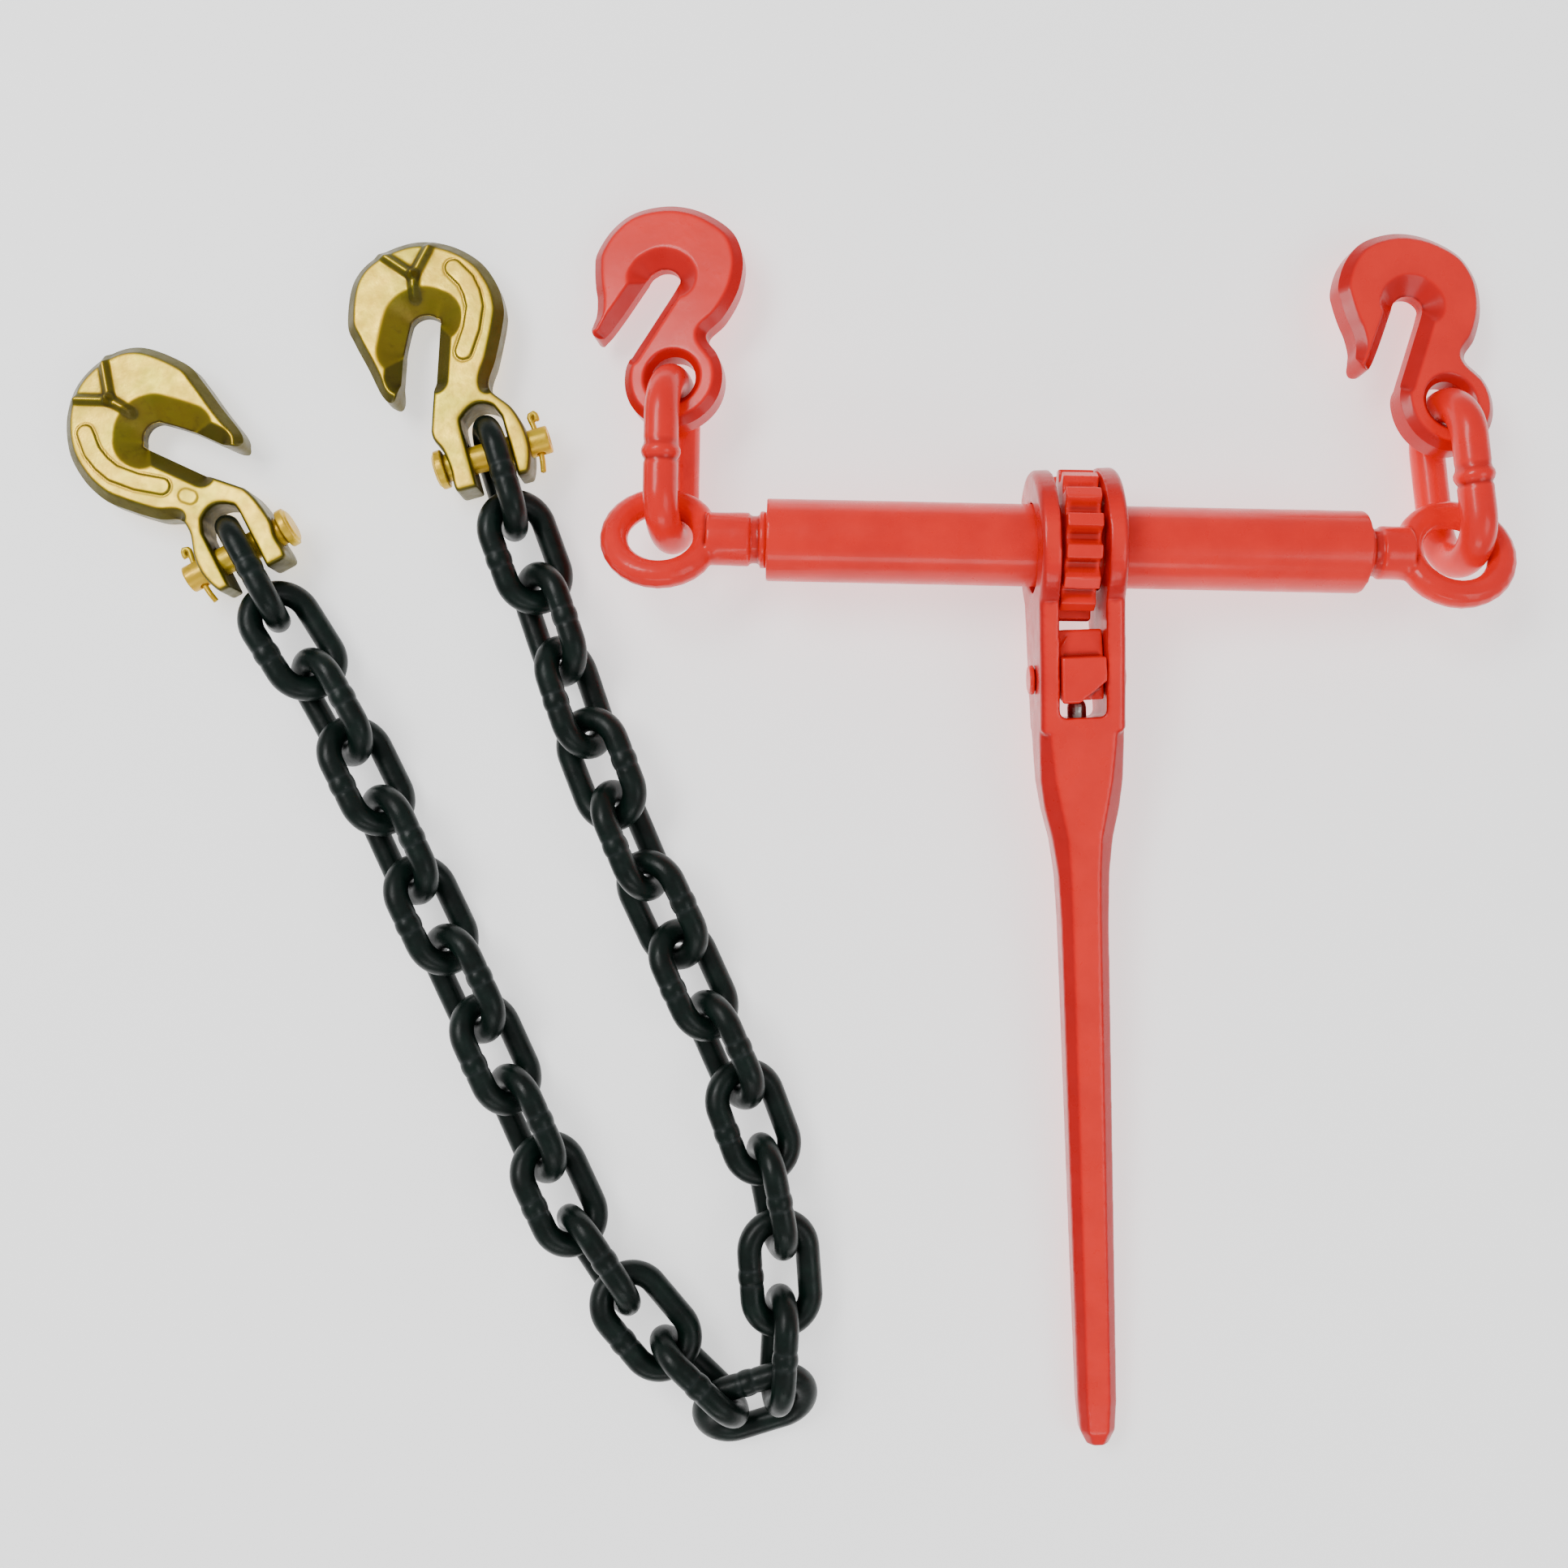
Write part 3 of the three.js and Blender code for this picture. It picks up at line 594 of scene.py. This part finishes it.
# Outlines in millimetres from the pin, with the head along Y.
HEAD = [
    (7.6, 24.7), (13.7, 34.8), (20.9, 47.3), (23.6, 54.4), (23.8, 64.3), (20.1, 75.3), (10.7, 85.4),
    (-2.2, 91.1), (-17.9, 90.4), (-29.6, 83.6), (-37.0, 68.5), (-36.8, 59.6), (-34.9, 47.9), (-33.4, 36.5),
    (-31, 32), (-28.2, 32.2), (-25, 38), (-20.1, 49.4), (-14.2, 59.4),
    (-12.2, 61.4), (-9.2, 62.3), (-5.8, 61.6), (-3.2, 59.4), (-2.6, 55.8),
    (-11.5, 33.8), (-19.2, 14.8)]
LEGS = [
    (-17.6, 4.6), (-16.6, -3.6), (-17.0, -10.0), (-15.5, -12.8), (-8.1, -12.8),
    (-8.1, 11.5), (-6.1, 16.4), (0, 19.2), (6.1, 16.4), (8.1, 11.5),
    (8.1, -12.8), (12.4, -12.8), (15.6, -4.5), (15.6, 4.4), (12.9, 14.1)]
JUNCTION = (-5.9, 76.3)
ARMS = [[JUNCTION, (-16.5, 90.8)], [JUNCTION, (4.7, 86.5)], [JUNCTION, (-8.2, 69)]]
BAND = [(10.1, 74.0), (13.2, 67.5), (13.8, 62.0), (13.2, 56.5), (9.1, 48.4), (3.2, 40.6)]

CLEVIS_STRAIGHT = (23, 24, 29, 30, 34, 35, 36)  # the throat's long wall, the fork's slot and ends
CLEVIS_THICKNESS, CLEVIS_BEVEL = 0.0166, 0.0016
PIN_HOLE_RADIUS = 0.0058
DRILL_LENGTH = 0.06
PIN_FACE = 0.74


def lengthened(points, stretch):
    """The hook's head made longer about its middle, fading out towards the legs."""
    result = []
    for x, y in points:
        t = min(max((y - 24) / 12, 0), 1)
        result.append((x, y + stretch * t * t * (3 - 2 * t) * (y - 62)))
    return result


def clevis_axes(node, pin, across):
    """Directions along a clevis hook's head and square to its plate, as the CAD node lies."""
    centre, _, _, normal = principal_frame(points_of(frame["nodes"][node]))
    normal = normal - across * (normal @ across)
    normal /= np.linalg.norm(normal)
    along = np.cross(normal, across)
    if along @ (centre - pin) < 0:
        normal, along = -normal, -along
    return along, normal


def dress_head(obj, turn, stretch, up):
    """Raises three arms and a blank panel with a groove round it, on the upper face."""
    for arm in ARMS:
        path = np.array(lengthened(arm, stretch)) @ turn / 1000
        raise_along(obj, path, ridge(height=0.0019, width=0.0026), up)
    band = np.array(lengthened(BAND, stretch)) @ turn / 1000
    raise_along(obj, band, panel(height=0.00045, half_width=0.0033), up)
    raise_along(obj, band, groove(depth=0.0005, away=0.0037, reach=0.0003), up)


def clevis_hook(side, lean, stretch):
    """A yellow hook with its head leaning by lean degrees, and its pin and cotter."""
    node = "clevis_hook_" + side
    pin, across = joint_axes("clevis_pin_%s_spin" % side)
    along, normal = clevis_axes(node, pin, across)
    up = 1 if normal[2] > 0 else -1
    cosine, sine = math.cos(math.radians(lean)), math.sin(math.radians(lean))
    turn = np.array([[cosine, sine], [-sine, cosine]])
    outline = [tuple(np.array(point) @ turn) for point in lengthened(HEAD, stretch)] + LEGS
    rows, owner = flowing(outline, CLEVIS_STRAIGHT)
    throat = rows[(owner >= 16) & (owner <= 24)]
    arch = rows[(owner >= 17) & (owner <= 22)]
    outer = rows[owner <= 13]
    hook = plate(node + "_skin", [rows], CLEVIS_THICKNESS, CLEVIS_BEVEL)
    drill_across(hook, PIN_HOLE_RADIUS, DRILL_LENGTH)
    refine(hook, HOOK_VOXEL, 3)
    limit_height(hook, CLEVIS_THICKNESS / 2, [
        (throat, False, 0.0058, 0.9), (arch, False, 0.0098, 0.62), (outer, False, 0.0036, 1.15)])
    relax(hook, 2)
    dress_head(hook, turn, stretch, up)
    if side == "left":
        square = np.array([(-1.9, 26.6), (-0.9, 28.6)]) @ turn / 1000
        raise_along(hook, square, panel(height=0.00045, half_width=0.0028), up)
    relax(hook, 1)
    place(hook, pin, across, along, normal)
    settle(hook, node, node, GOLD)
    # Painted light on the broad faces, painted shade on the bevels, sides and concave corners.
    shade_faces(hook, normal)
    for name, voxel, passes in (("clevis_pin_", 0.0004, 4), ("cotter_pin_", 0.0003, 2)):
        shade_evenly(skin(name + side, "clevis_pin_" + side, voxel, passes, GOLD), PIN_FACE)


clevis_hook("left", lean=-17, stretch=0.12)
clevis_hook("right", lean=3.5, stretch=0)

# The red hook's outline in millimetres from the middle of its eye.
EYE_HOOK = [
    (-18.2, 69.4), (-26.9, 62.9), (-32.6, 53.6), (-33.3, 47.1), (-32.7, 39.4), (-31.8, 34), (-31.9, 27.4),
    (-33.4, 22.5), (-32.4, 18.4), (-28.6, 18.2), (-22.5, 25.8), (-11.9, 41.8),
    (-9.8, 44.2), (-6.2, 45.8), (-2.2, 45.2), (0.6, 42.6), (0.7, 38.9),
    (-6.2, 27.4), (-11.6, 18.7), (-17.6, 8.9), (-19.4, 3.5),
    (-19.2, -3.4), (-16.9, -9.75), (-12.5, -14.9), (-6.7, -18.3), (0, -19.5), (6.7, -18.3), (12.5, -14.9),
    (16.9, -9.75), (19.2, -3.4), (19.2, 3.4), (16.9, 9.75), (12.4, 17.2),
    (18.9, 24.2), (24.3, 34), (26.4, 43.8), (25.7, 51.4), (22.2, 59.1), (14.5, 65.6),
    (4.7, 70.2), (-6.2, 71.7)]
EYE_HOOK_THICKNESS, EYE_HOOK_BEVEL = 0.0132, 0.0014
EYE_BORE_RADIUS = 0.0089
EYE_BORE_STEPS = 64


def eye_hook(side, heading):
    """A red grab hook whose head points heading degrees round from +X."""
    node = "grab_hook_" + side
    pivot, normal = joint_axes("grab_hook_%s_swing" % side)
    upright = np.array([math.cos(math.radians(heading)), math.sin(math.radians(heading)), 0])
    along = upright - normal * (upright @ normal)
    along /= np.linalg.norm(along)
    rows, owner = flowing(EYE_HOOK)
    bore = np.array([(EYE_BORE_RADIUS * math.cos(angle), -EYE_BORE_RADIUS * math.sin(angle))
                     for angle in np.arange(EYE_BORE_STEPS) / EYE_BORE_STEPS * 2 * math.pi])
    throat = rows[(owner >= 9) & (owner <= 18)]
    arch = rows[(owner >= 11) & (owner <= 15)]
    outer = np.concatenate([rows[owner >= 31], rows[owner <= 6]])
    eye = rows[(owner >= 19) & (owner <= 31)]
    hook = plate(node + "_skin", [rows, bore], EYE_HOOK_THICKNESS, EYE_HOOK_BEVEL)
    refine(hook, HOOK_VOXEL, 3)
    limit_height(hook, EYE_HOOK_THICKNESS / 2, [
        (throat, False, 0.0044, 0.95), (arch, False, 0.0075, 0.62), (outer, False, 0.0036, 0.9),
        (eye, False, 0.0032, 0.9), (bore, True, 0.0026, 1.1)])
    relax(hook, 4)
    place(hook, pivot, np.cross(along, normal), along, normal)
    settle(hook, node, node, RED)
    # Painted light on the broad faces, painted shade on the bevels, sides and concave corners.
    shade_faces(hook, normal)


eye_hook("left", heading=90)
eye_hook("right", heading=100)

# ---------------------------------------------------------------- binder

TAB_HEIGHT = 0.0078                             # the pawl's thumb tab, down from its top
CASTING_FACE = 0.9
SCREW_FACE = 0.86
NECK_PLACE, NECK_REACH = 0.0235, 0.0045         # where the ring meets its rod, from the ring's middle
NECK_PASSES = 70
THREAD_START, THREAD_FADE = 0.040, 0.002        # from the ring's middle
THREAD_PITCH, THREAD_DEPTH = 0.0042, 0.0009
THREAD_INNER = 0.0085                           # surface nearer the axis than this gets no thread

barrel_axis = joint_axes("lever_swing")[1]


def cut_corner(obj, start, end):
    """Moves the thumb tab's points that lie beyond the line from start to end, seen from above, onto it."""
    co = points_of(obj)
    start, end = np.array(start), np.array(end)
    along = (end - start) / np.linalg.norm(end - start)
    away = np.array([-along[1], along[0], 0])
    if away[0] * (co[:, 0].mean() - start[0]) > 0:
        away = -away
    past = np.maximum((co - start) @ away, 0)
    tab = co[:, 2] > co[:, 2].max() - TAB_HEIGHT
    set_points(obj, co - (past * tab)[:, None] * away)


def shape_pawl(pawl):
    """Cuts two corners off the thumb tab."""
    low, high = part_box("pawl")
    cut_corner(pawl, (low.x, low.y + 0.0207, 0), (low.x + 0.0036, low.y + 0.0262, 0))
    cut_corner(pawl, (high.x - 0.0062, low.y + 0.0040, 0), (high.x, low.y + 0.0092, 0))
    refine(pawl, 0.0004, 3)


def eye_screw(side, sign):
    """An eye screw with its ring flowing into the rod, and a thread cut along the rod."""
    screw = skin("eye_screw_" + side, "screw_" + side, 0.0005, 5, RED)
    middle, _ = joint_axes("end_link_%s_swing" % side)
    inward = -sign * barrel_axis
    near_neck = np.exp(-(((points_of(screw) - middle) @ inward - NECK_PLACE) / NECK_REACH) ** 4)
    relax(screw, NECK_PASSES, 0.5 * near_neck[:, None])
    offset = points_of(screw) - middle
    distance = offset @ inward
    radial = offset - distance[:, None] * inward
    reach = np.linalg.norm(radial, axis=1)
    thread = np.clip((distance - THREAD_START) / THREAD_FADE, 0, 1) * (reach > THREAD_INNER)
    side_axis = np.cross(inward, [0, 0, 1])
    angle = np.arctan2(radial[:, 2], radial @ side_axis)
    wave = 0.5 + 0.5 * np.cos(2 * math.pi * distance / THREAD_PITCH + angle)
    cut = THREAD_DEPTH * wave * thread
    set_points(screw, points_of(screw) - radial / np.maximum(reach, 1e-6)[:, None] * cut[:, None])
    # Painted shade in the thread's grooves, darkest where they are deepest, as well as in concave corners.
    set_attribute(screw, "crease", np.maximum(creases(screw), 0.6 * wave * thread))
    set_attribute(screw, "face", np.full(len(screw.data.vertices), SCREW_FACE))


for name, body, voxel, passes in (
        ("barrel_tube", "barrel", 0.0006, 4), ("ratchet_gear", "barrel", 0.0004, 3),
        ("lever_handle", "lever", 0.0006, 5), ("pawl", "pawl", 0.0004, 4), ("pawl_pin", "lever", 0.0004, 4)):
    casting = skin(name, body, voxel, passes, RED)
    if name == "pawl":
        shape_pawl(casting)
    if name == "lever_handle":
        # Painted light on the handle's upward faces, painted shade on its sides and bevels.
        shade_faces(casting, (0, 0, 1), 0.25)
    else:
        shade_evenly(casting, CASTING_FACE)

eye_screw("left", -1)
eye_screw("right", 1)

for name in ("pawl_plunger", "pawl_spring"):
    node = frame["nodes"][name]
    node.data.materials.clear()
    node.data.materials.append(STEEL)
